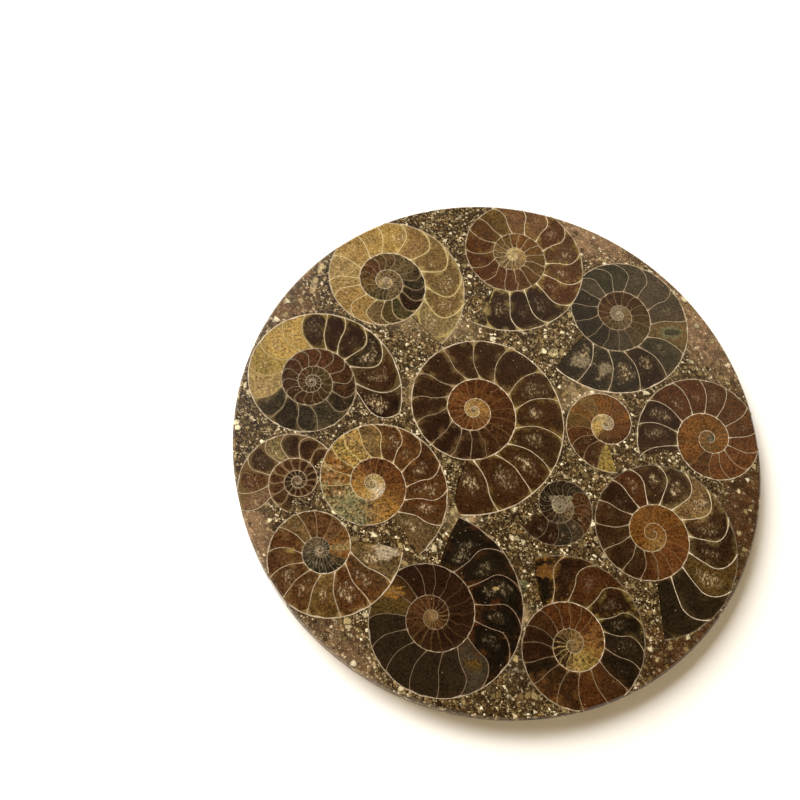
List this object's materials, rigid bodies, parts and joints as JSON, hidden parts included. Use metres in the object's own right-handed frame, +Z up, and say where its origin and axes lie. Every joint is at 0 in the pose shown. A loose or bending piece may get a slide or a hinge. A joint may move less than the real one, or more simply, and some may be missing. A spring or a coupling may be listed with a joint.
{
  "type": "ammonite fossil slice",
  "caption": "Thin round polished slab of crushed shell and stone with cut spiral ammonite fossils set flush through it, lying flat.",
  "frame": {"origin": "middle of the flat underside, which rests on the surface", "axes": "+Z up out of the polished face, +X and +Y across the disc; seen from above with +Y away, the two smallest ammonites lie right of the middle"},
  "size_m": [0.1, 0.1, 0.005],
  "materials": {
    "stone_matrix": "crushed shell and stone in brown cement, cut and polished",
    "golden_calcite": "polished calcite",
    "olive_calcite": "polished calcite",
    "charcoal_calcite": "polished calcite",
    "banded_calcite": "polished calcite",
    "umber_calcite": "polished calcite",
    "rust_calcite": "polished calcite",
    "brown_calcite": "polished calcite",
    "webbed_calcite": "polished calcite",
    "ember_calcite": "polished calcite",
    "slate_calcite": "polished calcite",
    "amber_calcite": "polished calcite",
    "chestnut_calcite": "polished calcite",
    "black_calcite": "polished calcite",
    "honey_calcite": "polished calcite",
    "shell_wall": "polished aragonite shell, seen edge on"
  },
  "bodies": {
    "root": {"stone_matrix": "stone_matrix", "ammonite_01_golden": "golden_calcite", "ammonite_02_olive": "olive_calcite", "ammonite_03_charcoal": "charcoal_calcite", "ammonite_04_banded": "banded_calcite", "ammonite_05_umber": "umber_calcite", "ammonite_06_rust": "rust_calcite", "ammonite_07_brown": "brown_calcite", "ammonite_08_webbed": "webbed_calcite", "ammonite_09_ember": "ember_calcite", "ammonite_10_slate": "slate_calcite", "ammonite_11_amber": "amber_calcite", "ammonite_12_chestnut": "chestnut_calcite", "ammonite_13_black": "black_calcite", "ammonite_14_honey": "honey_calcite"}
  },
  "joints": []
}
